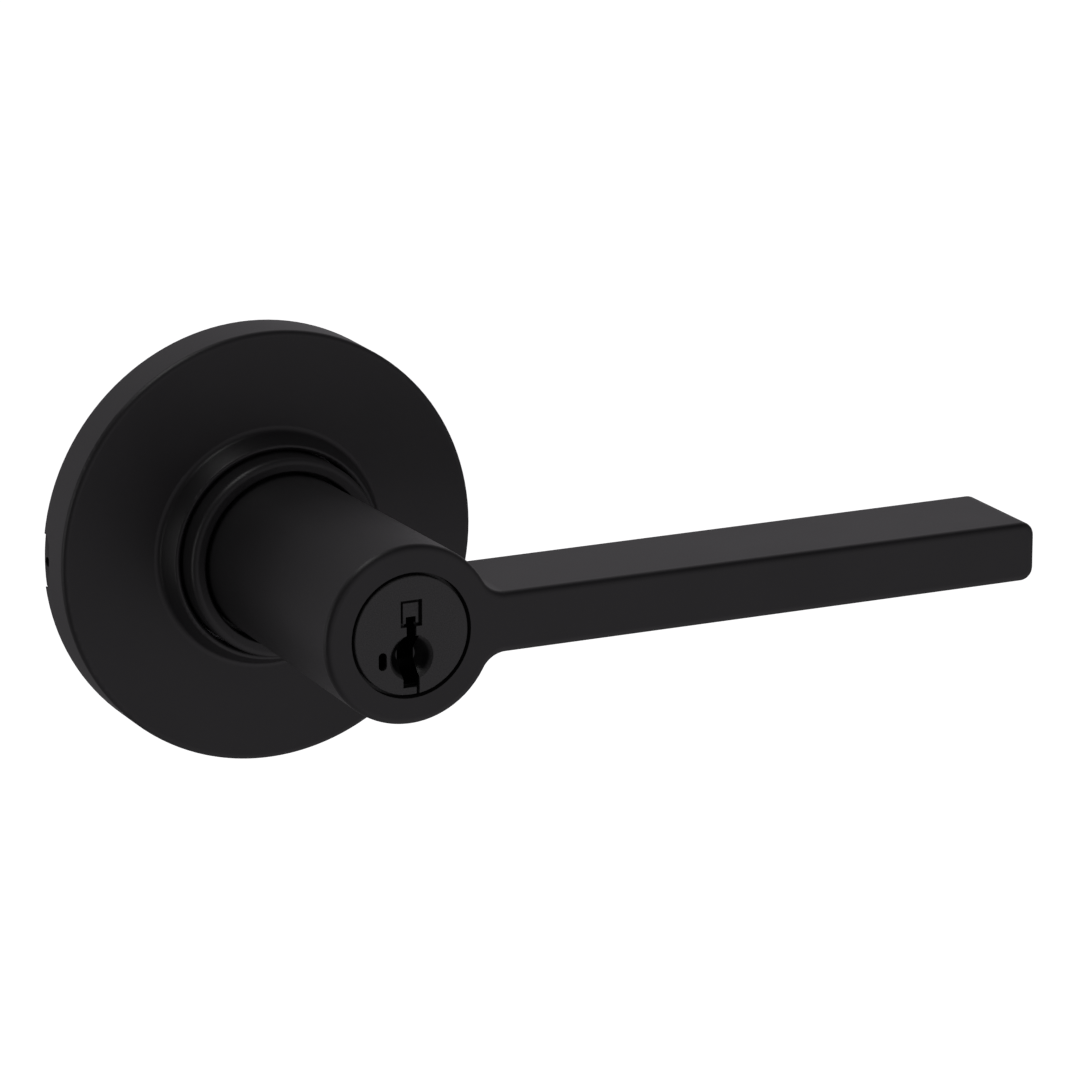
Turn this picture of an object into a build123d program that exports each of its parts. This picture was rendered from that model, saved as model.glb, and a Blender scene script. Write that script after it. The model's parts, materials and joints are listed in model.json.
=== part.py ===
from build123d import *
import math
import os

# Keyed lever handle set, outside half, in millimetres.
# Row frame: the origin is on the lever axis at the face of the door, +Y runs into the door, the arm points
# along +X and +Z is up. Everything is modelled lying on its back, with x along the arm, y up and z out of the
# door, and is stood up when it is written. A depth is a z value: 0 at the door, more as it comes out of it.

# ---- driving dimensions: outside form ----
rose_radius = 37.5
rose_depth = 9.0
rose_wall = 1.2
rose_edge = 1.0
bead_width = 2.65
bead_height = 3.8
bead_crest = 0.92
bead_foot = 1.2
bead_round = 0.55
collar_front = 17.0
collar_wall = 2.5
collar_round = 1.15
collar_step = 0.9
collar_lip = 0.38
neck_radius = 14.3
neck_overlap = 4.5
hub_swell = 0.8
hub_front = 67.2
arm_reach = 115.7
arm_height = 10.2
arm_depth = 20.7
arm_edge = 1.2
arm_tip_corner = 2.3
arm_root_round = 4.5

# ---- driving dimensions: notch in the rim of the rose ----
notch_width = 9.3
notch_depth = 2.6
notch_bevel = 1.6
notch_recess = 0.25
tab_thickness = 1.6
notch_hole_radius = 0.85

# ---- driving dimensions: chassis behind the rose ----
plate_thickness = 2.0
cage_reach = 12.7
cage_wall = 1.5
cage_lid = 1.0
ear_length = 5.6
ear_thickness = 1.6
ear_half_width = 4.6
ear_corner = 2.7
ear_angles = (90, 210, 330)
clip_angles = (35, 145, 270)
clip_strip = 0.5
clip_half_width = 3.0
clip_foot = 4.0
clip_bulge = 0.35
post_spacing = 38.0
post_radius = 3.2
post_length = 28.0
post_thread_radius = 1.65
post_thread_depth = 14.0
post_chamfer = 0.5
stake_radius = 2.24
screw_radius = 1.5
screw_head_radius = 2.6
screw_head_height = 1.5
screw_head_round = 0.6
recess_half_length = 1.6
recess_half_width = 0.3
recess_depth = 0.7

# ---- driving dimensions: drive parts that turn with the lever ----
tube_radius = 11.6
tube_wall = 1.5
tube_back = -4.0
lever_swing = 50.0
lug_half_angle = 6.0
lug_height = 2.7
stop_half_angle = 4.0
overswing = 1.0
fixed_stop_setback = 1.9
key_half_width = 1.9
key_length = 6.5
driver_thickness = 2.4
driver_setback = 1.2
tooth_half_width = 2.0
tooth_clear = 0.4
washer_thickness = 0.5
washer_setback = 1.4
back_washer_reach = 2.4
ring_thickness = 0.9
ring_front = -0.8
ring_groove = 0.7
ring_reach = 1.8
ring_mouth = 28.0
ring_mouth_angle = 60.0
spring_wire = 1.3
spring_turns = 2
coil_gap = 0.2
leg_end_gap = 0.8
leg_angle = 8.5
leg_length = 3.7
spring_setback = 2.9
spindle_radius = 4.75
spindle_bore = 3.0
spindle_flat = 3.9
spindle_end = -46.0
spindle_flange = 2.0
spindle_chamfer = 0.6
catch_setback = 6.0
catch_radius = 1.95
catch_travel = 2.5
catch_head_radius = 3.15
catch_head_height = 1.0
catch_sink = 0.35
catch_head_lift = 1.65
catch_spring_radius = 1.7
catch_spring_wire = 0.2
bracket_thickness = 0.8
bracket_clear = 1.8
bracket_half_length = 4.0
pin_radius = 1.0
pin_sink = 0.5

# ---- driving dimensions: key cylinder ----
face_radius = 10.0
face_gap = 0.56
face_thickness = 1.5
plug_lip = 1.4
plug_length = 34.2
shell_length = 31.2
shell_front_gap = 0.3
face_edge = 0.25
window_floor = 0.4
foot_sink = 0.25
keyway_top = 3.1
keyway_step = -0.2
keyway_foot = 1.2
upper_half_width = 0.875
lower_left = -1.5
lower_right = 1.4
cone_centre = -3.7
cone_radius = 3.85
cone_depth = 2.6
cone_floor_radius = 1.7
foot_block_left = -1.4
foot_block_right = 0.95
window_centre = 3.7
window_width = 3.8
window_height = 4.5
window_margin = 0.5
insert_sink = 0.3
insert_edge = 0.12
tool_slot_x = -5.1
tool_slot_y = -3.8
tool_slot_width = 1.46
tool_slot_height = 3.0
tool_slot_depth = 8.0
keyway_tail = 4.5
tumbler_count = 5
tumbler_pitch = 4.2
tumbler_thickness = 1.2
tumbler_lift = 2.7
pocket_wall = 1.3
pocket_radius = 1.15
pocket_x = 0.6
first_tumbler_setback = 6.7
tumbler_left = -3.0
tumbler_right = 4.2
tumbler_flank = 3.0
tumbler_ear = 2.6
tumbler_sill = 1.4
notch_root = 0.7
notch_half_width = 1.0
notch_floor = 0.4
tumbler_spring_radius = 0.75
tumbler_spring_wire = 0.14
tailpiece_width = 4.8
tailpiece_thickness = 1.2
tailpiece_end = -50.0
tailpiece_chamfer = 0.8
tailpiece_socket = 6.0
tail_pin_radius = 0.75
tail_pin_setback = 4.5
tail_pin_inset = 1.2
sidebar_half_width = 0.8
sidebar_overhang = 3.6
sidebar_spring_inset = 1.0
sidebar_pocket_radius = 0.8
sidebar_pocket_floor = 1.9
sidebar_spring_radius = 0.5
sidebar_spring_wire = 0.12
sidebar_tooth = 0.35
sidebar_groove = 0.9
clip_groove = 1.0
clip_thickness = 0.9
clip_reach = 1.3
clip_mouth = 0.7
spring_coils = 4

# ---- fits and clearances ----
press_gap = 0.05
running_gap = 0.06
slip_gap = 0.1
loose_gap = 0.15
cover_gap = 0.2
free_gap = 0.3
bead_gap = 0.35
end_gap = 0.5
lever_gap = 0.6
beyond = 1.0
near = 0.01

# ---- sizes that follow from the ones above ----
hub_radius = neck_radius + hub_swell
cage_radius = neck_radius + cage_reach
collar_inner = neck_radius + lever_gap
collar_outer = collar_inner + collar_wall
bead_inner = collar_outer + bead_gap
bead_outer = bead_inner + bead_width
cage_top = rose_depth - rose_wall - cover_gap
lid_under = cage_top - cage_lid
neck_end = collar_front - neck_overlap
bush_front = neck_end - end_gap
tube_inner = tube_radius - tube_wall
sleeve_bore = tube_radius + slip_gap
cylinder_bore = face_radius + face_gap
shell_radius = cylinder_bore - running_gap
plug_front = hub_front - face_thickness
shell_front = plug_front - shell_front_gap
plug_radius = face_radius - plug_lip
plug_back = plug_front - plug_length
shell_back = shell_front - shell_length
tube_front = plug_back - end_gap
catch_depth = tube_front - catch_setback
cage_inner = cage_radius - cage_wall
spring_mean = cage_inner - spring_setback
lug_outer = spring_mean - leg_length
driver_radius = lug_outer - lug_height
driver_back = plate_thickness + driver_setback
collar_spigot = collar_outer - collar_step
ring_back = ring_front - ring_thickness
keyway_bottom = keyway_foot - face_radius
moat_floor = plug_front + end_gap
pocket_top = plug_radius - pocket_wall
tumbler_top = pocket_top - tumbler_lift


# ---- small helpers ----
def drum(radius, low, high):
    """Solid cylinder about the lever axis between two depths."""
    return Pos(0, 0, low) * Cylinder(radius, high - low, align=(Align.CENTER, Align.CENTER, Align.MIN))


def ring(outer, inner, low, high):
    """Ring about the lever axis between two depths."""
    return drum(outer, low, high) - drum(inner, low, high)


def block(x_low, x_high, y_low, y_high, z_low, z_high):
    """Box between two corners."""
    size = (x_high - x_low, y_high - y_low, z_high - z_low)
    return Pos(x_low, y_low, z_low) * Box(*size, align=(Align.MIN, Align.MIN, Align.MIN))


def rod(start, end, radius):
    """Round bar between two points."""
    run = Vector(*end) - Vector(*start)
    return Plane(origin=start, z_dir=run) * Cylinder(
        radius, run.length, align=(Align.CENTER, Align.CENTER, Align.MIN)
    )


def sector(outer, inner, middle, half_angle, low, high):
    """Part of a ring within a half angle of a middle angle, in degrees."""
    reach = outer * 2
    corners = [(0, 0)]
    for side in (-1, 1):
        turn = math.radians(middle + side * half_angle)
        corners.append((reach * math.cos(turn), reach * math.sin(turn)))
    wedge = extrude(make_face(Polyline(*corners, close=True)), high - low)
    return ring(outer, inner, low, high) & (Pos(0, 0, low) * wedge)


def spun(shape, angle):
    """Shape turned about the lever axis."""
    return Rot(0, 0, angle) * shape


def rim_edges(shape, radius, depth):
    """Circular edges of one radius at one depth."""
    found = []
    for edge in shape.edges().filter_by(GeomType.CIRCLE):
        at_depth = abs(edge.center().Z - depth) < near
        if at_depth and abs(edge.radius - radius) < near:
            found.append(edge)
    return found


def coil(mean_radius, wire_radius, length, turns):
    """Compression spring standing on z = 0."""
    rise = length - 2 * wire_radius
    path = Pos(0, 0, wire_radius) * Helix(pitch=rise / turns, height=rise, radius=mean_radius)
    section = Plane(origin=path @ 0, z_dir=path % 0) * Circle(wire_radius)
    return sweep(section, path=path)


def write(name, shape):
    """Stand the shape up in the row frame and write it as a node."""
    export_step(Plane.XZ.location * shape, f"parts/{name}.step")


# ---- rose and chassis ----
def notch_outline(grow):
    """Bevelled outline of the rim notch, seen along the arm, grown by an even amount."""
    half = notch_width / 2 + grow
    top = notch_depth + grow
    points = [(-half, -beyond), (half, -beyond), (half, top - notch_bevel), (half - notch_bevel, top)]
    points += [(notch_bevel - half, top), (-half, top - notch_bevel)]
    face = make_face(Polyline(*points, close=True))
    return Plane(origin=(0, 0, 0), x_dir=(0, 1, 0), z_dir=(1, 0, 0)) * face


def notch_prism(grow):
    """The notch as a bar reaching out of the rose on the side away from the arm."""
    return extrude(notch_outline(grow), -rose_radius - beyond)


def bead_profile():
    """Half section of the bead, with a sloped outer wall, a rounded crest and a swept foot."""
    top = rose_depth + bead_height
    root = rose_depth - rose_wall / 2
    skirt = bead_outer + bead_foot
    points = [(bead_inner, root), (bead_inner, top), (bead_inner + bead_crest, top)]
    points += [(bead_outer, rose_depth), (skirt, rose_depth), (skirt, root)]
    section = make_face(Polyline(*points, close=True))
    corners = section.vertices()
    section = fillet([corner for corner in corners if corner.Y > top - near], bead_round)
    foot = section.vertices().sort_by_distance((bead_outer, rose_depth))[0]
    return Plane.XZ * fillet(foot, bead_foot)


def rose_cover():
    """Round cover with a rounded bead about the neck and a release notch in its rim."""
    cover = drum(rose_radius, 0, rose_depth)
    cover = fillet(rim_edges(cover, rose_radius, rose_depth), rose_edge)
    cover -= drum(rose_radius - rose_wall, 0, rose_depth - rose_wall)
    cover += revolve(bead_profile(), Axis.Z)
    cover -= drum(bead_inner, -beyond, rose_depth)
    rim_side = block(-rose_radius - beyond, -rose_radius / 2, -notch_width, notch_width, -beyond, rose_depth)
    return cover - (notch_prism(0) & rim_side)


def mounting_plate():
    """Steel plate against the door, with a tab that shows in the notch of the rose."""
    plate_radius = rose_radius - rose_wall - free_gap
    plate = drum(plate_radius, 0, plate_thickness)
    tab_outer = rose_radius - notch_recess
    tab = ring(tab_outer, tab_outer - tab_thickness, 0, rose_depth) & notch_prism(-loose_gap)
    tab &= block(-rose_radius, 0, -notch_width, notch_width, 0, rose_depth)
    middle = notch_depth / 2
    hole = rod((-rose_radius - beyond, 0, middle), (tab_thickness - tab_outer, 0, middle), notch_hole_radius)
    plate = plate + tab - hole
    front = plate_thickness + beyond
    plate -= drum(tube_radius + running_gap, -beyond, front)
    for side in (-1, 1):
        plate -= Pos(side * post_spacing / 2, 0, 0) * drum(stake_radius, -beyond, front)
    for angle in ear_angles:
        plate -= spun(Pos(screw_circle(), 0, 0) * drum(screw_radius, -beyond, front), angle)
    return plate


def mounting_posts():
    """Two tapped posts staked into the plate, which pass into the door."""
    posts = []
    for side in (-1, 1):
        post = drum(post_radius, -post_length, 0) + drum(stake_radius, 0, plate_thickness)
        post = chamfer(rim_edges(post, post_radius, -post_length), post_chamfer)
        post -= drum(post_thread_radius, -post_length - beyond, post_thread_depth - post_length)
        posts.append(Pos(side * post_spacing / 2, 0, 0) * post)
    return Compound(posts)


def screw_circle():
    """Radius at which the cage ears are screwed down."""
    return cage_radius + ear_length / 2


def spring_cage():
    """Cup over the return spring, with its fixed stop, end stops and screw ears."""
    cage = ring(cage_radius, cage_inner, plate_thickness, cage_top)
    cage += ring(cage_radius, collar_spigot + press_gap, lid_under, cage_top)
    for angle in ear_angles:
        ear = block(cage_inner + end_gap, cage_radius + ear_length, -ear_half_width, ear_half_width,
                    plate_thickness, plate_thickness + ear_thickness)
        ear = fillet(ear.edges().filter_by(Axis.Z).group_by(Axis.X)[-1], ear_corner)
        ear -= Pos(screw_circle(), 0, 0) * drum(screw_radius + loose_gap, 0, rose_depth)
        cage += spun(ear, angle)
    foot = plate_thickness + free_gap
    stop_outer = spring_mean - fixed_stop_setback
    cage += sector(stop_outer, lug_outer + free_gap, -90, lug_half_angle, foot, cage_top)
    for side in (-1, 1):
        middle = -90 + side * (lever_swing + lug_half_angle + overswing + stop_half_angle)
        cage += sector(lug_outer, driver_radius + free_gap, middle, stop_half_angle, foot, cage_top)
    return cage


def cage_screws():
    """Three pan-head screws through the ears of the cage into the plate."""
    screws = []
    seat = plate_thickness + ear_thickness
    for angle in ear_angles:
        screw = drum(screw_radius, cover_gap, seat) + drum(screw_head_radius, seat, seat + screw_head_height)
        screw = fillet(rim_edges(screw, screw_head_radius, seat + screw_head_height), screw_head_round)
        floor = seat + screw_head_height - recess_depth
        half_length = recess_half_length
        half_width = recess_half_width
        screw -= block(-half_length, half_length, -half_width, half_width, floor, rose_depth)
        screw -= block(-half_width, half_width, -half_length, half_length, floor, rose_depth)
        screws.append(spun(Pos(screw_circle(), 0, 0) * screw, angle))
    return Compound(screws)


def rose_clips():
    """Three bent spring clips on the plate that grip the inside of the rose."""
    clips = []
    touch = rose_radius - rose_wall - loose_gap
    back = touch - clip_bulge
    height = cage_top - beyond
    half = clip_half_width
    for angle in clip_angles:
        foot = block(back - clip_foot, back, -half, half, plate_thickness, plate_thickness + clip_strip)
        upright = block(back - clip_strip, back, -half, half, plate_thickness, height)
        bulge_depth = height - beyond
        bulge = rod((back, -half, bulge_depth), (back, half, bulge_depth), clip_bulge)
        clips.append(spun(foot + upright + bulge, angle))
    return Compound(clips)


def collar_ring():
    """Rounded ring that stands through the bead and surrounds the neck."""
    collar = ring(collar_outer, collar_inner, cage_top, collar_front)
    collar = fillet(rim_edges(collar, collar_outer, collar_front), collar_round)
    collar = fillet(rim_edges(collar, collar_inner, collar_front), collar_lip)
    return collar + ring(collar_spigot, collar_inner, lid_under, cage_top)


def collar_bush():
    """Plain bearing inside the collar that carries the drive tube."""
    return ring(collar_inner - press_gap, tube_radius + running_gap, lid_under, bush_front)


def return_spring():
    """Torsion spring with a leg turned inward at each end of the coil."""
    wire = spring_wire / 2
    pitch = spring_wire + coil_gap
    turn = 360 * spring_turns - 2 * leg_angle
    rise = pitch * turn / 360
    low = (plate_thickness + lid_under - rise) / 2
    coil_path = spun(Pos(0, 0, low) * Helix(pitch=pitch, height=rise, radius=spring_mean), leg_angle - 90)
    spring = sweep(Plane(origin=coil_path @ 0, z_dir=coil_path % 0) * Circle(wire), path=coil_path)
    leg_inner = driver_radius + leg_end_gap
    for side, depth in ((1, low), (-1, low + rise)):
        angle = math.radians(-90 + side * leg_angle)
        direction = (math.cos(angle), math.sin(angle))
        inner = (leg_inner * direction[0], leg_inner * direction[1], depth)
        outer = (spring_mean * direction[0], spring_mean * direction[1], depth)
        spring += rod(inner, outer, wire) + Pos(*outer) * Sphere(wire)
    return spring


# ---- lever and drive parts ----
def lever_handle():
    """Tapered round neck and square arm in one casting, bored for the cylinder and the drive tube."""
    height = hub_front - neck_end
    hub = Pos(0, 0, neck_end) * Cone(
        neck_radius, hub_radius, height, align=(Align.CENTER, Align.CENTER, Align.MIN)
    )
    half = arm_height / 2
    arm = block(0, arm_reach, -half, half, hub_front - arm_depth, hub_front)
    arm = fillet(arm.edges().filter_by(Axis.Z).group_by(Axis.X)[-1], arm_tip_corner)
    back = arm.faces().sort_by(Axis.Z)[0]
    arm = fillet([edge for edge in back.edges() if edge.center().X > beyond], arm_edge)
    lever = hub + arm
    roots = []
    for edge in lever.edges():
        at_root = abs(edge.center().X - hub_radius) < hub_radius / 3
        upright = edge.bounding_box().size.Z > arm_depth / 2
        if at_root and upright and abs(abs(edge.center().Y) - half) < free_gap:
            roots.append(edge)
    lever = fillet(roots, arm_root_round)
    lever = fillet(lever.faces().sort_by(Axis.Z)[-1].edges(), arm_edge)
    stage = tube_front + free_gap
    lever -= drum(sleeve_bore, 0, stage)
    lever -= drum(cylinder_bore, tube_front, hub_front + beyond)
    lever += tube_keys(0)
    lever -= rod((0, -hub_radius - beyond, catch_depth), (0, 0, catch_depth), catch_radius + loose_gap)
    lever -= pin_hole()
    return lever


def tube_keys(grow):
    """Two keys across the bore of the neck that drive the tube, grown for the slots they fit."""
    half_width = key_half_width + grow
    low = tube_front - key_length - 2 * grow
    high = tube_front + cover_gap + 2 * grow
    reach = sleeve_bore + free_gap
    bars = block(-reach, reach, -half_width, half_width, low, high)
    return bars - drum(tube_inner + cover_gap - 2 * grow, low - beyond, high + beyond)


def pin_hole():
    """Hole under the hub for the pin that holds the cylinder."""
    depth = (shell_back + shell_front) / 2
    inner = pin_sink + slip_gap - shell_radius
    return rod((0, -hub_radius - beyond, depth), (0, inner, depth), pin_radius + press_gap)


def cylinder_pin():
    """Pin through the underside of the hub into the cylinder shell."""
    depth = (shell_back + shell_front) / 2
    return rod((0, pin_sink - hub_radius, depth), (0, pin_sink - shell_radius, depth), pin_radius)


def drive_tube():
    """Slotted steel tube that carries the lever through the chassis."""
    tube = ring(tube_radius, tube_inner, tube_back, tube_front)
    tube -= tube_keys(slip_gap)
    tube -= driver_teeth(slip_gap, tube_back - beyond)
    root = tube_radius - ring_groove
    tube -= ring(tube_radius + beyond, root, ring_back - press_gap, ring_front + press_gap)
    tube -= rod((0, -tube_radius - beyond, catch_depth), (0, 0, catch_depth), catch_radius + slip_gap)
    return tube


def driver_teeth(grow, low):
    """Two teeth of the spring driver that enter the tube, grown for the slots they fit."""
    half_width = tooth_half_width + grow
    high = driver_back + driver_thickness + grow
    reach = tube_radius + end_gap
    teeth = block(-reach, reach, -half_width, half_width, low, high)
    return teeth - drum(tube_inner + tooth_clear - 4 * grow, low - beyond, high + beyond)


def spring_driver():
    """Disc keyed to the tube whose lug pushes the legs of the return spring."""
    top = driver_back + driver_thickness
    driver = ring(driver_radius, tube_radius + press_gap, driver_back, top)
    driver += driver_teeth(0, driver_back)
    lug_low = plate_thickness + end_gap
    lug_high = lid_under - free_gap
    driver += sector(lug_outer - slip_gap, driver_radius - beyond, -90, lug_half_angle, lug_low, lug_high)
    return driver


def thrust_washer():
    """Washer between the spring driver and the lid of the cage."""
    top = driver_back + driver_thickness
    return ring(driver_radius - washer_setback, tube_radius + slip_gap, top, top + washer_thickness)


def back_washer():
    """Washer between the plate and the retaining ring."""
    return ring(tube_radius + back_washer_reach, tube_radius + slip_gap, ring_front, -slip_gap)


def retaining_ring():
    """Open ring in the groove behind the plate."""
    root = tube_radius - ring_groove + press_gap
    clip = ring(tube_radius + ring_reach, root, ring_back, ring_front)
    side = 2 * tube_radius
    rise = side * math.tan(math.radians(ring_mouth))
    mouth = make_face(Polyline((0, 0), (side, rise), (side, -rise), close=True))
    wedge = Pos(0, 0, ring_back) * extrude(mouth, ring_thickness)
    return clip - spun(wedge, ring_mouth_angle)


def spindle():
    """Hollow D-shaped spindle with the flange that is staked into the tube."""
    flange_back = tube_back + end_gap
    shaft = drum(spindle_radius, spindle_end, flange_back)
    shaft = chamfer(rim_edges(shaft, spindle_radius, spindle_end), spindle_chamfer)
    side = spindle_radius + beyond
    shaft -= block(-side, side, spindle_flat, side, spindle_end - beyond, flange_back)
    shaft += drum(tube_inner - press_gap, flange_back, flange_back + spindle_flange)
    return shaft - drum(spindle_bore, spindle_end - beyond, beyond)


def lever_catch():
    """Sprung button that holds the lever on the tube and is pushed in to release it."""
    head_foot = catch_seat() - catch_head_height
    tip = catch_sink - neck_radius
    button = rod((0, tip, catch_depth), (0, head_foot, catch_depth), catch_radius)
    head = rod((0, head_foot, catch_depth), (0, catch_seat(), catch_depth), catch_head_radius)
    return button + head


def catch_seat():
    """Height at which the catch bears on its spring."""
    return catch_head_lift - tube_inner


def bracket_under():
    """Underside of the bracket that backs the catch spring."""
    return -tailpiece_width / 2 - bracket_clear


def catch_spring():
    """Small compression spring between the catch and its bracket."""
    length = bracket_under() - catch_seat() - 2 * near
    spring = coil(catch_spring_radius, catch_spring_wire, length, spring_coils)
    return Pos(0, catch_seat() + near, catch_depth) * Rot(-90, 0, 0) * spring


def catch_bracket():
    """Bridge across the inside of the tube that backs the catch spring."""
    low = catch_depth - bracket_half_length
    high = catch_depth + bracket_half_length
    under = bracket_under()
    bridge = block(-tube_inner, tube_inner, under, under + bracket_thickness, low, high)
    return bridge & drum(tube_inner - near, low - beyond, high + beyond)


# ---- key cylinder ----
def keyway(bottom, low, high):
    """Stepped slot for the key."""
    upper = block(-upper_half_width, upper_half_width, keyway_step - slip_gap, keyway_top, low, high)
    return upper + block(lower_left, lower_right, bottom, keyway_step, low, high)


def key_mouth():
    """Cone about the keyway that guides the key in."""
    cone = Cone(cone_floor_radius, cone_radius, cone_depth, align=(Align.CENTER, Align.CENTER, Align.MAX))
    return Pos(0, cone_centre, hub_front) * cone


def tool_slot(low, high):
    """Round-ended slot beside the keyway for the reset tool."""
    outline = SlotOverall(tool_slot_height, tool_slot_width, rotation=90)
    return Pos(tool_slot_x, tool_slot_y, low) * extrude(outline, high - low)


def plug_face():
    """Disc on the front of the plug, with the mouth of the keyway and the recessed window."""
    face = drum(face_radius, plug_front, hub_front)
    face = fillet(rim_edges(face, face_radius, hub_front), face_edge)
    clear = hub_front + beyond
    face -= keyway(keyway_bottom, plug_front - beyond, clear)
    half = window_width / 2
    low = window_centre - window_height / 2
    face -= block(-half, half, low, low + window_height, plug_front + window_floor, clear)
    moat = block(lower_left, lower_right, -face_radius - beyond, keyway_bottom + slip_gap, moat_floor, clear)
    foot_front = hub_front - foot_sink
    foot = block(foot_block_left, foot_block_right, -face_radius, keyway_bottom, plug_front, foot_front)
    face = face - moat + (foot & drum(face_radius - press_gap, plug_front, hub_front))
    return face - key_mouth() - tool_slot(plug_front - beyond, clear)


def face_insert():
    """Plain block set a little below the face in the window."""
    half = window_width / 2 - window_margin
    low = window_centre - window_height / 2 + window_margin
    high = low + window_height - 2 * window_margin
    insert = block(-half, half, low, high, plug_front + window_floor, hub_front - insert_sink)
    insert = fillet(insert.faces().sort_by(Axis.Z)[-1].edges(), insert_edge)
    return insert - keyway(keyway_bottom, plug_front - beyond, hub_front + beyond)


def tumbler_depths():
    """Depth of the middle of each tumbler, from the front."""
    first = plug_front - first_tumbler_setback
    return [first - tumbler_pitch * index for index in range(tumbler_count)]


def sidebar_ends():
    """Back and front of the sidebar."""
    depths = tumbler_depths()
    return depths[-1] - sidebar_overhang, depths[0] + sidebar_overhang


def sidebar_spring_depths():
    """Depths of the two springs that push the sidebar out."""
    low, high = sidebar_ends()
    return low + sidebar_spring_inset, high - sidebar_spring_inset


def plug_body():
    """Turning core with the keyway, tumbler slots, sidebar slot and tailpiece socket."""
    plug = drum(plug_radius, plug_back, plug_front)
    plug -= keyway(-plug_radius - beyond, tumbler_depths()[-1] - keyway_tail, plug_front + beyond)
    plug -= key_mouth()
    plug -= tool_slot(plug_front - tool_slot_depth, plug_front + beyond)
    half = tumbler_thickness / 2 + slip_gap
    for depth in tumbler_depths():
        plug -= block(tumbler_left - slip_gap, tumbler_right + slip_gap, -plug_radius - beyond,
                      tumbler_top + slip_gap, depth - half, depth + half)
        plug -= rod((pocket_x, 0, depth), (pocket_x, pocket_top, depth), pocket_radius)
    low, high = sidebar_ends()
    half = sidebar_half_width + slip_gap
    slot_floor = tumbler_right - slip_gap
    plug -= block(slot_floor, plug_radius + beyond, -half, half, low - slip_gap, high + slip_gap)
    for depth in sidebar_spring_depths():
        plug -= rod((sidebar_pocket_floor, 0, depth), (tumbler_right, 0, depth), sidebar_pocket_radius)
    plug -= tailpiece_blade(slip_gap)
    root = plug_radius - clip_groove
    plug -= ring(plug_radius + beyond, root, clip_back() - press_gap, clip_front() + press_gap)
    return plug - tail_pin_rod(press_gap)


def tumbler(depth):
    """Flat tumbler with a window for the key and a notch for the sidebar."""
    half = tumbler_thickness / 2
    low_edge = end_gap - math.sqrt((plug_radius - slip_gap) ** 2 - tumbler_left ** 2)
    plate = block(tumbler_left, tumbler_flank, low_edge, tumbler_top, depth - half, depth + half)
    ear_back = tumbler_flank - slip_gap
    plate += block(ear_back, tumbler_right, -tumbler_ear, tumbler_ear, depth - half, depth + half)
    plate -= block(lower_left - cover_gap, lower_right + cover_gap, low_edge + tumbler_sill,
                   keyway_top + cover_gap, depth - half - beyond, depth + half + beyond)
    mouth = tumbler_right + slip_gap
    root = tumbler_right - notch_root
    notch = [(mouth, notch_half_width), (root, notch_floor), (root, -notch_floor), (mouth, -notch_half_width)]
    cut = extrude(make_face(Polyline(*notch, close=True)), tumbler_thickness + 2 * beyond)
    return plate - Pos(0, 0, depth - half - beyond) * cut


def tumbler_spring(depth):
    """Spring above one tumbler."""
    length = pocket_top - tumbler_top - 2 * near
    spring = coil(tumbler_spring_radius, tumbler_spring_wire, length, spring_coils)
    return Pos(pocket_x, tumbler_top + near, depth) * Rot(-90, 0, 0) * spring


def sidebar_back():
    """Face of the sidebar towards the tumblers."""
    return tumbler_right + loose_gap


def sidebar():
    """Bar that the tumblers let in, with a tooth in each tumbler notch."""
    low, high = sidebar_ends()
    width = sidebar_half_width
    bar = block(sidebar_back(), plug_radius - cover_gap, -width, width, low, high)
    tip = tumbler_right - notch_root + slip_gap
    tooth = sidebar_tooth
    for depth in tumbler_depths():
        half = tumbler_thickness / 2 - slip_gap
        bar += block(tip, sidebar_back() + slip_gap, -tooth, tooth, depth - half, depth + half)
    return bar


def sidebar_springs():
    """Two small springs behind the ends of the sidebar."""
    springs = []
    length = sidebar_back() - sidebar_pocket_floor - 2 * near
    spring = coil(sidebar_spring_radius, sidebar_spring_wire, length, spring_coils)
    for depth in sidebar_spring_depths():
        springs.append(Pos(sidebar_pocket_floor + near, 0, depth) * Rot(0, 90, 0) * spring)
    return Compound(springs)


def cylinder_shell():
    """Fixed body of the key cylinder, with the groove that the sidebar drops into when locked."""
    shell = ring(shell_radius, plug_radius + running_gap, shell_back, shell_front)
    low, high = sidebar_ends()
    half = sidebar_half_width + slip_gap
    groove = plug_radius + sidebar_groove
    shell -= block(0, groove, -half, half, low - free_gap, high + free_gap)
    return shell - pin_hole()


def clip_front():
    """Front of the clip that keeps the plug in the shell."""
    return shell_back - free_gap


def clip_back():
    """Back of that clip."""
    return clip_front() - clip_thickness


def plug_clip():
    """Open clip in the groove at the back of the plug."""
    clip = ring(plug_radius + clip_reach, plug_radius - clip_groove + press_gap, clip_back(), clip_front())
    half = clip_mouth * plug_radius
    return clip - block(-half, half, 0, plug_radius * 2, plug_back, shell_back)


def tailpiece_blade(grow):
    """Flat blade from the back of the plug through the spindle, grown for the socket it fits."""
    half_width = tailpiece_width / 2 + grow
    half_thickness = tailpiece_thickness / 2 + grow
    front = plug_back + tailpiece_socket + grow
    return block(-half_thickness, half_thickness, -half_width, half_width, tailpiece_end, front)


def tail_pin_rod(grow):
    """Cross pin through the plug and the tailpiece, grown for the hole it fits."""
    reach = plug_radius - tail_pin_inset + grow
    depth = plug_back + tail_pin_setback
    return rod((-reach, 0, depth), (reach, 0, depth), tail_pin_radius + grow)


def tailpiece():
    """Flat blade that carries the turn of the key to the inside half."""
    blade = tailpiece_blade(0)
    blade = chamfer(blade.faces().sort_by(Axis.Z)[0].edges().filter_by(Axis.X), tailpiece_chamfer)
    return blade - tail_pin_rod(press_gap)


# ---- write every node ----
os.makedirs("parts", exist_ok=True)

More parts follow.
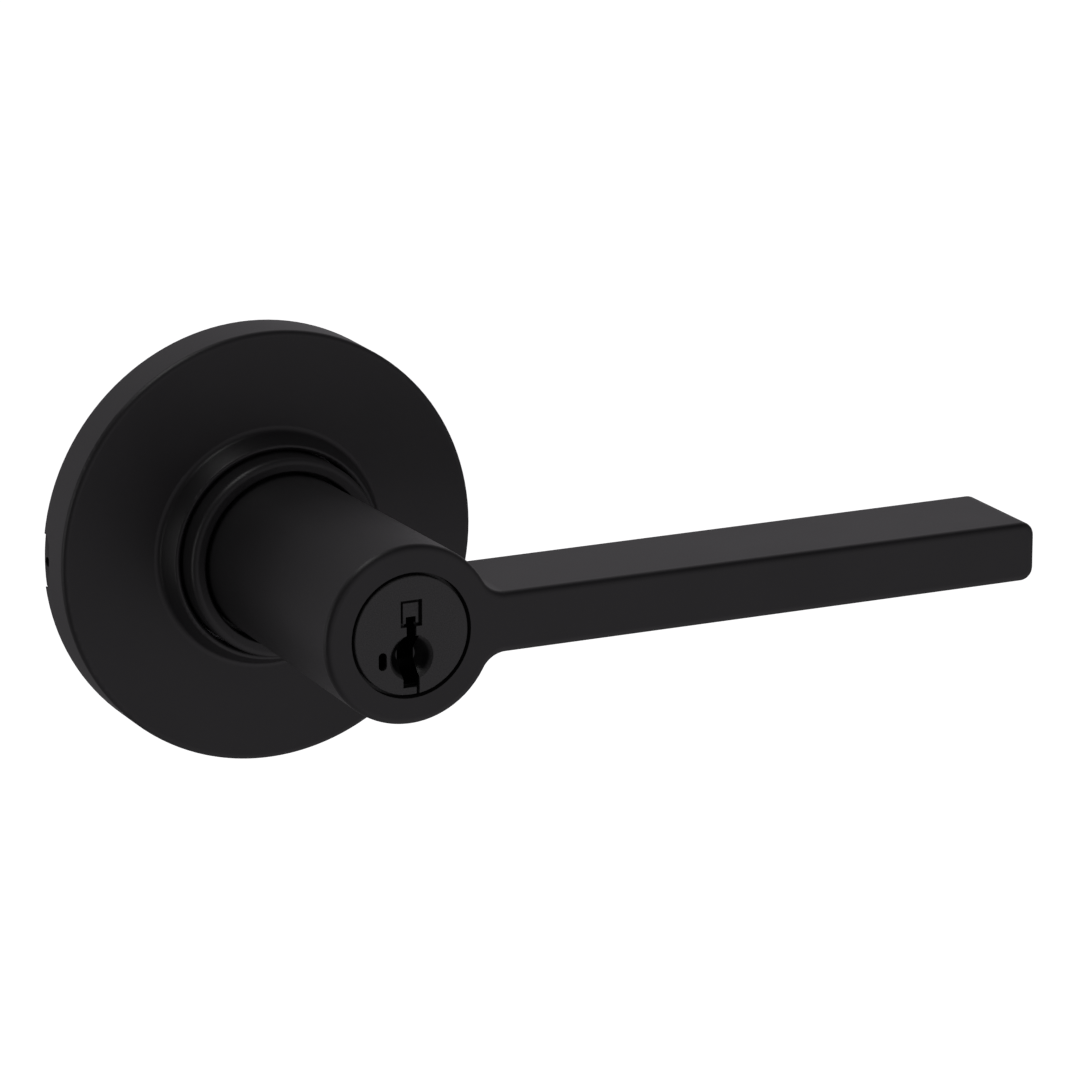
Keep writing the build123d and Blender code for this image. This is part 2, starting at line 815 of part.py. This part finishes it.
write("rose_cover", rose_cover())
write("mounting_plate", mounting_plate())
write("mounting_posts", mounting_posts())
write("spring_cage", spring_cage())
write("cage_screws", cage_screws())
write("rose_clips", rose_clips())
write("collar_ring", collar_ring())
write("collar_bush", collar_bush())
write("return_spring", return_spring())

write("lever_handle", lever_handle())
write("drive_tube", drive_tube())
write("spring_driver", spring_driver())
write("thrust_washer", thrust_washer())
write("back_washer", back_washer())
write("retaining_ring", retaining_ring())
write("spindle", spindle())
write("catch_bracket", catch_bracket())
write("catch_spring", catch_spring())
write("lever_catch", lever_catch())

write("cylinder_shell", cylinder_shell())
write("cylinder_pin", cylinder_pin())
write("plug_face", plug_face())
write("face_insert", face_insert())
write("plug_body", plug_body())
for index, depth in enumerate(tumbler_depths()):
    write(f"tumbler_{index + 1}", tumbler(depth))
    write(f"tumbler_spring_{index + 1}", tumbler_spring(depth))
write("sidebar", sidebar())
write("sidebar_springs", sidebar_springs())
write("plug_clip", plug_clip())
write("tailpiece", tailpiece())
write("tailpiece_pin", tail_pin_rod(0))
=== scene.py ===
import json
import math

import bpy
import numpy as np
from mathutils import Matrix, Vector


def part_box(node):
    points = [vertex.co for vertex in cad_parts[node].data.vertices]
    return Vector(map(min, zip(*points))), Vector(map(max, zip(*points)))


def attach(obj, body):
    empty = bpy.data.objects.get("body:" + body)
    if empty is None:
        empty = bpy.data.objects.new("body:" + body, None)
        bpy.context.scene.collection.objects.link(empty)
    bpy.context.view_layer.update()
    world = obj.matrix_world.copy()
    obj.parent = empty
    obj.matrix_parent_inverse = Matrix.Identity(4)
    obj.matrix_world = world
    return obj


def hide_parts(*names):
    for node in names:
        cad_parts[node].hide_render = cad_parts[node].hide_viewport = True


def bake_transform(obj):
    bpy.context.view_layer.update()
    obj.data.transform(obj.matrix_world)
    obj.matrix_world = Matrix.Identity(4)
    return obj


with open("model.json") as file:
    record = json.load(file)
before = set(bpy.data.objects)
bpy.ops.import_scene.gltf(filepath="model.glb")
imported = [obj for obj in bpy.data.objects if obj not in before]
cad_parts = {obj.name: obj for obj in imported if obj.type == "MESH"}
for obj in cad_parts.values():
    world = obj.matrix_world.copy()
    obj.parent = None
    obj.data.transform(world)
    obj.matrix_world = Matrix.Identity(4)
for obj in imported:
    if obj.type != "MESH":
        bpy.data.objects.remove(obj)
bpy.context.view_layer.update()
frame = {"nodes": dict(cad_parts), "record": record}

# Row frame in metres: the lever axis runs along Y, the face of the door is y = 0 and the lever stands at
# negative y, the arm points along +X and +Z is up. Objects stay at the origin, so object coordinates are
# row coordinates.
MM = 0.001
HUB_FRONT = -67.2 * MM
BUSH_FRONT = -12.0 * MM

# ---- tapped bores of the two posts ----
POST_X = 19.0 * MM
BORE_RADIUS = 1.65 * MM
THREAD_START = 15.0 * MM
THREAD_END = 27.3 * MM
THREAD_PITCH = 0.7 * MM
THREAD_HEIGHT = 0.24 * MM
THREAD_FOOT = 0.42  # half the width of the ridge at the wall, in pitches
THREAD_STEPS = 40  # sections to a turn

# ---- spring of the lever catch ----
CATCH_WIRE = 0.2 * MM
CATCH_TURNS = 4
CATCH_STEPS = 48  # sections to a turn
CATCH_SIDES = 14

# ---- camera: angles in degrees, distances in metres ----
VIEW_AZIMUTH = 25.56
VIEW_ELEVATION = 15.67
VIEW_DISTANCE = 1.0469
VIEW_TARGET = (0.05506, 0.0, -0.00768)
LENS_MM = 199.5
SENSOR_MM = 36.0
NEAR_CLIP = 0.05
FAR_CLIP = 100.0

# ---- studio: a level is the strength of a glow, a spread is the pair of slopes between which it rises ----
ORIGIN = (0.0, 0.0, 0.0)
FLOOR_HEIGHT = -1.3
FLOOR_HALF = 30.0
FLOOR_SHADE = 0.85
FLOOR_ROUGHNESS = 0.8
FLOOR_EMISSION = 0.95
BACK_LEVEL = 0.32
BACK_DEPTH_SPREAD = (0.0, 0.6)
BACK_HEIGHT_SPREAD = (-0.75, -0.2)
FRONT_LEVEL = 0.38
FRONT_GLOW = (0.41, -0.87, -0.28)
FRONT_SPREAD = (0.2, 0.95)
BOUNCE_LEVEL = 0.2
BOUNCE_SPREAD = (-0.45, -0.95)
ROOM_LEVEL = 0.015
ROOM_TINT = (1.0, 0.96, 1.01, 1.0)

# ---- where finishes change: in depth, painted shade in the recesses of the cylinder face, at the front end of the bush and on the brass in the keyway; along its length, the handled arm ----
# painted shade fades in below the face of the cylinder, in its recesses
RECESS_SHADE_START = HUB_FRONT + 0.36 * MM
RECESS_SHADE_END = HUB_FRONT + 0.8 * MM
# painted shade on the front end of the bush, fading out further into the door
GAP_SHADE_FADE_START = BUSH_FRONT + 1.8 * MM
GAP_SHADE_FADE_END = BUSH_FRONT + 2.2 * MM
# painted shade on the front of the brass plug, in the keyway, fading out further into the door
KEYWAY_SHADE_FADE_START = HUB_FRONT + 24 * MM
KEYWAY_SHADE_FADE_END = HUB_FRONT + 25 * MM
BRASS_WANDER = 3 * MM  # how far a stain shifts the border
HANDLED_START = 25 * MM
HANDLED_END = 70 * MM

# ---- spacing of the rings that a turning tool leaves ----
BUSH_RINGS = 0.25 * MM
BRASS_RINGS = 0.3 * MM

# ---- textures: middle value, pairs of values between which a mark appears, and strengths of marks ----
MIDDLE = 0.5
SOFT = (0.3, 0.7)
EVEN = (0.35, 0.7)
STAINED = (0.4, 0.75)
HANDLED = (0.35, 0.65)
SPANGLED = (0.55, 0.8)
STRAW_SHARE = 0.35
RUBBED = (0.58, 0.72)
RUBBED_SHARE = 0.4
STRAY = (0.12, 0.04)
STRAY_SHARE = 0.3
PITTED = (0.0, 0.5)


# ---------------------------------------------------------------- shader maths
def join(tree, value, socket):
    """Links a wire to a socket, or writes a plain value into it."""
    if isinstance(value, Wire):
        tree.links.new(value.socket, socket)
    else:
        socket.default_value = value


class Wire:
    """An output socket that can be added, scaled and so on, so that shader maths reads as Python."""

    def __init__(self, tree, socket):
        self.tree = tree
        self.socket = socket

    def maths(self, operation, *values, clamp=False):
        node = self.tree.nodes.new("ShaderNodeMath")
        node.operation = operation
        node.use_clamp = clamp
        for place, value in enumerate(values):
            join(self.tree, value, node.inputs[place])
        return Wire(self.tree, node.outputs[0])

    def __add__(self, other):
        return self.maths("ADD", self, other)

    def __radd__(self, other):
        return self.maths("ADD", other, self)

    def __sub__(self, other):
        return self.maths("SUBTRACT", self, other)

    def __rsub__(self, other):
        return self.maths("SUBTRACT", other, self)

    def __mul__(self, other):
        return self.maths("MULTIPLY", self, other)

    def __rmul__(self, other):
        return self.maths("MULTIPLY", other, self)

    def power(self, exponent):
        return self.maths("POWER", self, exponent)

    def wave(self, length):
        """Runs from 0 to 1 and back once in every length."""
        return self.maths("SINE", self * (2 * math.pi / length)) * MIDDLE + MIDDLE

    def ramp(self, low, high):
        """Goes in a straight line from 0 at the low value to 1 at the high one."""
        scale = 1.0 / (high - low)
        return self.maths("MULTIPLY_ADD", self, scale, -low * scale, clamp=True)


class Shading:
    """Adds nodes to one node tree."""

    def __init__(self, tree):
        self.tree = tree
        tree.nodes.clear()

    def node(self, kind, settings, values, output=0):
        """One node: its settings first, then a value or a link for each named or numbered input."""
        node = self.tree.nodes.new(kind)
        for name, value in settings.items():
            setattr(node, name, value)
        for name, value in values.items():
            join(self.tree, value, node.inputs[name])
        return Wire(self.tree, node.outputs[output]) if node.outputs else None

    def split(self, vector):
        """The three parts of a vector."""
        node = self.tree.nodes.new("ShaderNodeSeparateXYZ")
        join(self.tree, vector, node.inputs[0])
        return [Wire(self.tree, output) for output in node.outputs]

    def along(self, vector, direction):
        """How far a vector points along a direction."""
        settings = {"operation": "DOT_PRODUCT"}
        return self.node("ShaderNodeVectorMath", settings, {0: vector, 1: direction}, "Value")


class Finish(Shading):
    """A material with one principled shader, whose textures are laid out in row coordinates."""

    def __init__(self, name, **uniform):
        self.material = bpy.data.materials.new(name)
        self.material.use_nodes = True
        super().__init__(self.material.node_tree)
        self.shader = self.tree.nodes.new("ShaderNodeBsdfPrincipled")
        output = self.tree.nodes.new("ShaderNodeOutputMaterial")
        self.tree.links.new(self.shader.outputs[0], output.inputs["Surface"])
        self.place = self.node("ShaderNodeTexCoord", {}, {}, "Object")
        self.set(**uniform)

    def set(self, **values):
        """Writes or links the shader's inputs, with underscores for the spaces in their names."""
        for name, value in values.items():
            join(self.tree, value, self.shader.inputs[name.replace("_", " ")])

    def noise(self, cell, detail=2.0, stretch=(1.0, 1.0, 1.0)):
        """Smooth noise with cells about this many metres across, squeezed by a factor along each axis."""
        place = self.node("ShaderNodeVectorMath", {"operation": "MULTIPLY"}, {0: self.place, 1: stretch})
        return self.node("ShaderNodeTexNoise", {}, {"Vector": place, "Scale": 1.0 / cell, "Detail": detail})

    def grains(self, cell):
        """Distance from the middle of the nearest grain, in cells."""
        return self.node("ShaderNodeTexVoronoi", {}, {"Vector": self.place, "Scale": 1.0 / cell})

    def radius(self):
        """Distance from the lever axis."""
        x, _, z = self.split(self.place)
        return (x * x + z * z).power(0.5)

    def blend(self, share, first, second):
        """Goes from the first colour to the second as the share goes from 0 to 1."""
        values = {0: share, 6: first, 7: second}
        return self.node("ShaderNodeMix", {"data_type": "RGBA"}, values, 2)

    def rough(self, level, swings, changes=()):
        """Roughness: a level, textures that swing it both ways, and masks that change it where they cover."""
        for texture, width in swings:
            level = level + (texture - MIDDLE) * width
        for mask, change in changes:
            level = level + mask * change
        self.set(Roughness=level)

    def relief(self, height, depth, strength=0.5):
        """Bump for a height between 0 and 1 that stands for this depth in metres."""
        values = {"Height": height, "Distance": depth, "Strength": strength}
        self.set(Normal=self.node("ShaderNodeBump", {}, values))


def grey(level):
    """Neutral linear colour."""
    return (level, level, level, 1.0)


# ---- colours ----
COAT_DARK = (0.0182, 0.0174, 0.0187, 1.0)
COAT_PALE = (0.0232, 0.0222, 0.0238, 1.0)
ZINC_DARK = (0.50, 0.50, 0.49, 1.0)
ZINC_PALE = (0.60, 0.60, 0.58, 1.0)
ZINC_STRAW = (0.62, 0.58, 0.44, 1.0)
RUBBED_STEEL = (0.09, 0.085, 0.08, 1.0)
WIRE_DARK = (0.16, 0.16, 0.17, 1.0)
WIRE_PALE = (0.30, 0.30, 0.31, 1.0)
CAST_DARK = (0.34, 0.34, 0.36, 1.0)
CAST_PALE = (0.46, 0.46, 0.48, 1.0)
PLASTIC_DARK = (0.66, 0.64, 0.58, 1.0)
PLASTIC_PALE = (0.74, 0.73, 0.68, 1.0)
BRASS_PALE = (0.62, 0.44, 0.18, 1.0)
BRASS_STAINED = (0.44, 0.29, 0.11, 1.0)
WHITE = grey(1.0)
STRAY_GRAIN = grey(0.05)
FACE_DARK = grey(0.034)
FACE_PALE = grey(0.064)
# painted shade in the recesses of the cylinder face, below its surface
RECESS_PAINTED_SHADE = grey(0.004)
OXIDE_DARK = grey(0.016)
OXIDE_PALE = grey(0.028)
# painted shade on the front end of the bush, seen deep in the gap round the neck
GAP_PAINTED_SHADE = grey(0.004)
# painted shade on the brass in the keyway
KEYWAY_PAINTED_SHADE = grey(0.006)


# ---------------------------------------------------------------- finishes
def satin_black():
    """Baked black coat: orange peel, fine grit, faint clouds, stray pale grains and a hand-polished arm."""
    finish = Finish("satin_black", IOR=1.5)
    cloud = finish.noise(cell=16 * MM, detail=3.0)
    peel = finish.noise(cell=0.7 * MM)
    grit = finish.noise(cell=0.16 * MM)
    stray = finish.grains(cell=0.45 * MM).ramp(*STRAY) * STRAY_SHARE
    coat = finish.blend(cloud.ramp(*SOFT), COAT_DARK, COAT_PALE)
    along_arm, _, _ = finish.split(finish.place)
    handled = along_arm.ramp(HANDLED_START, HANDLED_END) * cloud.ramp(*HANDLED)
    finish.set(Base_Color=finish.blend(stray, coat, STRAY_GRAIN))
    finish.rough(0.42, [(cloud, 0.06), (grit, 0.14)], [(handled, -0.03)])
    finish.relief(peel * 0.6 + grit * 0.4, depth=0.01 * MM)
    return finish.material


def sanded_black():
    """Blasted black on the face of the key cylinder, with painted shade below the surface in its recesses."""
    finish = Finish("sanded_black", IOR=1.5)
    _, depth, _ = finish.split(finish.place)
    # painted shade: darker below the surface, in the recesses of the face
    recess_shade = depth.ramp(RECESS_SHADE_START, RECESS_SHADE_END)
    cloud = finish.noise(cell=5 * MM, detail=3.0)
    grit = finish.noise(cell=0.2 * MM, detail=3.0)
    pits = finish.grains(cell=0.3 * MM).ramp(*PITTED)
    blasted = finish.blend(grit.ramp(*EVEN), FACE_DARK, FACE_PALE)
    finish.set(Base_Color=finish.blend(recess_shade, blasted, RECESS_PAINTED_SHADE))
    finish.rough(0.50, [(cloud, 0.1)], [(recess_shade, -0.2)])
    finish.relief(grit * 0.7 + pits * 0.3, depth=0.02 * MM)
    return finish.material


def plated_steel():
    """Zinc plate on rolled steel: rolling marks, fine spangle and patches of straw-coloured passivation."""
    finish = Finish("plated_steel", Metallic=1.0)
    cloud = finish.noise(cell=12 * MM, detail=4.0)
    spangle = finish.noise(cell=2.2 * MM)
    marks = finish.noise(cell=1.0 * MM, detail=3.0, stretch=(1.0, 1.0, 0.06))
    plate = finish.blend(cloud.ramp(*SOFT), ZINC_DARK, ZINC_PALE)
    finish.set(Base_Color=finish.blend(spangle.ramp(*SPANGLED) * STRAW_SHARE, plate, ZINC_STRAW))
    finish.rough(0.30, [(marks, 0.18), (spangle, 0.1)])
    finish.relief(marks * 0.7 + spangle * 0.3, depth=0.015 * MM)
    return finish.material


def blackened_steel():
    """Black oxide on pressed steel, with rubbed patches where the metal starts to show."""
    finish = Finish("blackened_steel", Metallic=0.6)
    cloud = finish.noise(cell=9 * MM, detail=4.0)
    grain = finish.noise(cell=0.35 * MM, detail=2.0)
    rubbed = finish.noise(cell=4 * MM, detail=5.0).ramp(*RUBBED) * RUBBED_SHARE
    oxide = finish.blend(cloud.ramp(*SOFT), OXIDE_DARK, OXIDE_PALE)
    finish.set(Base_Color=finish.blend(rubbed, oxide, RUBBED_STEEL))
    finish.rough(0.46, [(grain, 0.2)], [(rubbed, -0.1)])
    finish.relief(grain, depth=0.012 * MM)
    return finish.material


def spring_steel():
    """Drawn wire and strip: grey steel with oil-blackened patches and lengthwise drawing marks."""
    finish = Finish("spring_steel", Metallic=1.0)
    cloud = finish.noise(cell=6 * MM, detail=4.0)
    marks = finish.noise(cell=0.7 * MM, detail=2.0, stretch=(1.0, 0.1, 1.0))
    finish.set(Base_Color=finish.blend(cloud.ramp(*EVEN), WIRE_DARK, WIRE_PALE))
    finish.rough(0.36, [(marks, 0.2)])
    finish.relief(marks, depth=0.01 * MM)
    return finish.material


def cast_zinc():
    """Bare die casting: dull grey with flow marks and a grainy skin."""
    finish = Finish("cast_zinc", Metallic=1.0)
    flow = finish.noise(cell=16 * MM, detail=5.0, stretch=(1.0, 2.5, 1.0))
    skin = finish.noise(cell=0.4 * MM, detail=3.0)
    finish.set(Base_Color=finish.blend(flow.ramp(*SOFT), CAST_DARK, CAST_PALE))
    finish.rough(0.5, [(flow, 0.2)])
    finish.relief(skin, depth=0.03 * MM)
    return finish.material


def acetal():
    """Off-white bearing plastic with turning rings, a waxy sheen and painted shade at its front end, where it
    shows deep in the gap round the neck.
    """
    finish = Finish("acetal")
    _, depth, _ = finish.split(finish.place)
    cloud = finish.noise(cell=8 * MM)
    rings = finish.radius().wave(BUSH_RINGS)
    # painted shade: the front end of the bush, seen deep in the gap, is dark
    gap_unshaded = (depth + cloud * MM).ramp(GAP_SHADE_FADE_START, GAP_SHADE_FADE_END)
    plastic = finish.blend(cloud, PLASTIC_DARK, PLASTIC_PALE)
    finish.set(Base_Color=finish.blend(gap_unshaded, GAP_PAINTED_SHADE, plastic))
    finish.rough(0.42, [(cloud, 0.1)], [(1.0 - gap_unshaded, -0.1)])
    finish.relief(rings, depth=0.006 * MM)
    return finish.material


def turned_brass():
    """Machined brass with tool rings and oil stains, painted black as shade where the front end shows in the
    keyway.
    """
    finish = Finish("turned_brass")
    _, depth, _ = finish.split(finish.place)
    stain = finish.noise(cell=7 * MM, detail=4.0)
    fine = finish.noise(cell=0.4 * MM)
    rings = depth.wave(BRASS_RINGS)
    # painted shade: the front of the brass, seen in the keyway, is black and not metallic
    keyway_unshaded = (depth + stain * BRASS_WANDER).ramp(KEYWAY_SHADE_FADE_START, KEYWAY_SHADE_FADE_END)
    brass = finish.blend(stain.ramp(*STAINED), BRASS_PALE, BRASS_STAINED)
    finish.set(Base_Color=finish.blend(keyway_unshaded, KEYWAY_PAINTED_SHADE, brass), Metallic=keyway_unshaded)
    finish.rough(0.30, [(fine, 0.15)], [(rings, 0.06)])
    finish.relief(rings * 0.6 + fine * 0.4, depth=0.008 * MM)
    return finish.material


finishes = {
    "black_finish": satin_black(),
    "black_face": sanded_black(),
    "zinc_steel": plated_steel(),
    "dark_steel": blackened_steel(),
    "spring_steel": spring_steel(),
    "cast_zinc": cast_zinc(),
    "bush_plastic": acetal(),
    "cylinder_brass": turned_brass(),
}


def finish_nodes():
    """Gives every node of the frame the finish of its slot."""
    for row in frame["record"]["subparts"]:
        mesh = frame["nodes"][row["node"]].data
        for place in range(len(mesh.materials)):
            mesh.materials[place] = finishes[row["material_slot"]]


# ---------------------------------------------------------------- added detail
def thread_ridge(name, centre_x):
    """Ridge of a screw thread inside a bore.

    A triangle, wide at the wall of the bore and pointing at its axis, is carried round the axis while it
    moves a pitch for every turn: angle = 2 pi t and depth = start + pitch t, for t from 0 to the number of
    turns. Neighbouring triangles are joined by three strips, and each end is closed with the triangle itself.
    """
    steps = int(THREAD_STEPS * (THREAD_END - THREAD_START) / THREAD_PITCH)
    t = np.arange(steps + 1)[:, None] / THREAD_STEPS
    half = THREAD_FOOT * THREAD_PITCH
    radius = np.array([BORE_RADIUS, BORE_RADIUS - THREAD_HEIGHT, BORE_RADIUS])
    shift = np.array([-half, 0.0, half])
    x = centre_x + radius * np.cos(2 * math.pi * t)
    y = THREAD_START + THREAD_PITCH * t + shift
    z = radius * np.sin(2 * math.pi * t)
    points = np.stack([x, y, z], axis=2).reshape(-1, 3)
    corner = np.arange(3)
    after = (corner + 1) % 3
    strip = np.stack([corner, corner + 3, after + 3, after], axis=1)
    sides = (3 * np.arange(steps)[:, None, None] + strip).reshape(-1, 4)
    ends = [[0, 1, 2], [3 * steps + 2, 3 * steps + 1, 3 * steps]]
    mesh = bpy.data.meshes.new(name)
    mesh.from_pydata(points.tolist(), [], ends + sides.tolist())
    mesh.materials.append(finishes["zinc_steel"])
    ridge = bpy.data.objects.new(name, mesh)
    bpy.context.scene.collection.objects.link(ridge)
    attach(ridge, "chassis")


def catch_spring():
    """Spring of the lever catch, a fixed coil of wire that fills the box of the CAD spring.

    A circle is carried along a helix with an upright axis: at angle u the middle of the wire lies mean cos u
    along, mean sin u into the door and climb u above its foot. Round it, a point of the surface lies
    wire cos v outwards and wire sin v along the upward vector square to the helix. Each end is closed with
    its own circle.
    """
    low, high = (np.array(corner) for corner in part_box("catch_spring"))
    middle = (low + high) / 2
    mean = (high[0] - low[0]) / 2 - CATCH_WIRE
    turned = 2 * math.pi * CATCH_TURNS
    climb = (high[2] - low[2] - 2 * CATCH_WIRE) / turned
    count = CATCH_TURNS * CATCH_STEPS
    u = np.linspace(0.0, turned, count + 1)[:, None]
    v = 2 * math.pi * np.arange(CATCH_SIDES) / CATCH_SIDES
    slope = math.hypot(mean, climb)
    outward = mean + CATCH_WIRE * np.cos(v)
    lean = CATCH_WIRE * np.sin(v) * climb / slope
    x = middle[0] + outward * np.cos(u) + lean * np.sin(u)
    y = middle[1] + outward * np.sin(u) - lean * np.cos(u)
    z = low[2] + CATCH_WIRE + climb * u + CATCH_WIRE * np.sin(v) * mean / slope
    points = np.stack([x, y, z], axis=2).reshape(-1, 3)
    side = np.arange(CATCH_SIDES)
    after = (side + 1) % CATCH_SIDES
    strip = np.stack([side, side + CATCH_SIDES, after + CATCH_SIDES, after], axis=1)
    walls = (CATCH_SIDES * np.arange(count)[:, None, None] + strip).reshape(-1, 4)
    foot = side.tolist()
    crown = (count * CATCH_SIDES + side[::-1]).tolist()
    mesh = bpy.data.meshes.new("catch_spring_wire")
    mesh.from_pydata(points.tolist(), [], [foot, crown] + walls.tolist())
    mesh.materials.append(finishes["spring_steel"])
    spring = bpy.data.objects.new("catch_spring_wire", mesh)
    bpy.context.scene.collection.objects.link(spring)
    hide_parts("catch_spring")
    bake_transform(spring)


# ---------------------------------------------------------------- studio
def studio_floor():
    """Plain pale floor well under the handle, so bright that it runs into the background."""
    sides = (-FLOOR_HALF, FLOOR_HALF, FLOOR_HALF, -FLOOR_HALF)
    ends = (-FLOOR_HALF, -FLOOR_HALF, FLOOR_HALF, FLOOR_HALF)
    corners = [(side, end, FLOOR_HEIGHT) for side, end in zip(sides, ends)]
    mesh = bpy.data.meshes.new("studio_floor")
    mesh.from_pydata(corners, [], [(0, 1, 2, 3)])
    finish = Finish("pale_floor", Base_Color=grey(FLOOR_SHADE), Roughness=FLOOR_ROUGHNESS)
    finish.set(Emission_Color=WHITE, Emission_Strength=FLOOR_EMISSION)
    mesh.materials.append(finish.material)
    floor = bpy.data.objects.new("studio_floor", mesh)
    floor.visible_diffuse = False
    floor.visible_glossy = False
    bpy.context.scene.collection.objects.link(floor)


def studio_world():
    """White to the eye. As a light: pale behind the door, low in front and from the floor, else dim."""
    world = bpy.data.worlds.new("studio")
    world.use_nodes = True
    room = Shading(world.node_tree)
    direction = room.node("ShaderNodeTexCoord", {}, {}, "Generated")
    _, into_door, up = room.split(direction)
    backdrop = into_door.ramp(*BACK_DEPTH_SPREAD) * up.ramp(*BACK_HEIGHT_SPREAD) * BACK_LEVEL
    glow = room.along(direction, FRONT_GLOW).ramp(*FRONT_SPREAD) * FRONT_LEVEL
    bounce = up.ramp(*BOUNCE_SPREAD) * BOUNCE_LEVEL
    seen = room.node("ShaderNodeBackground", {}, {"Color": WHITE, "Strength": 1.0})
    light = backdrop + glow + bounce + ROOM_LEVEL
    lit = room.node("ShaderNodeBackground", {}, {"Color": ROOM_TINT, "Strength": light})
    camera_ray = room.node("ShaderNodeLightPath", {}, {}, "Is Camera Ray")
    mixed = room.node("ShaderNodeMixShader", {}, {0: camera_ray, 1: lit, 2: seen})
    room.node("ShaderNodeOutputWorld", {}, {"Surface": mixed})
    bpy.context.scene.world = world


def softbox(name, place, width, height, power):
    """Soft rectangular light that faces the lever axis at the door, with its power in watts."""
    light = bpy.data.lights.new(name, "AREA")
    light.shape = "RECTANGLE"
    light.size = width
    light.size_y = height
    light.energy = power
    lamp = bpy.data.objects.new(name, light)
    lamp.location = place
    lamp.rotation_euler = (Vector(ORIGIN) - Vector(place)).to_track_quat("-Z", "Y").to_euler()
    lamp.visible_camera = False
    bpy.context.scene.collection.objects.link(lamp)


def studio_camera():
    """Long lens, to the left of the handle and a little above it."""
    azimuth = math.radians(VIEW_AZIMUTH)
    elevation = math.radians(VIEW_ELEVATION)
    level = math.cos(elevation)
    look = Vector((math.sin(azimuth) * level, math.cos(azimuth) * level, -math.sin(elevation)))
    lens = bpy.data.cameras.new("camera")
    lens.sensor_width = SENSOR_MM
    lens.lens = LENS_MM
    lens.clip_start = NEAR_CLIP
    lens.clip_end = FAR_CLIP
    camera = bpy.data.objects.new("camera", lens)
    camera.location = Vector(VIEW_TARGET) - look * VIEW_DISTANCE
    camera.rotation_euler = look.to_track_quat("-Z", "Y").to_euler()
    bpy.context.scene.collection.objects.link(camera)
    bpy.context.scene.camera = camera


finish_nodes()
thread_ridge("thread_left", -POST_X)
thread_ridge("thread_right", POST_X)
catch_spring()
studio_floor()
studio_world()
softbox("overhead", place=(-0.36, 0.04, 1.06), width=0.9, height=0.3, power=2.0)
softbox("left", place=(-1.05, 0.03, -0.05), width=0.3, height=0.8, power=0.8)
studio_camera()
bpy.context.scene.view_settings.view_transform = "Standard"
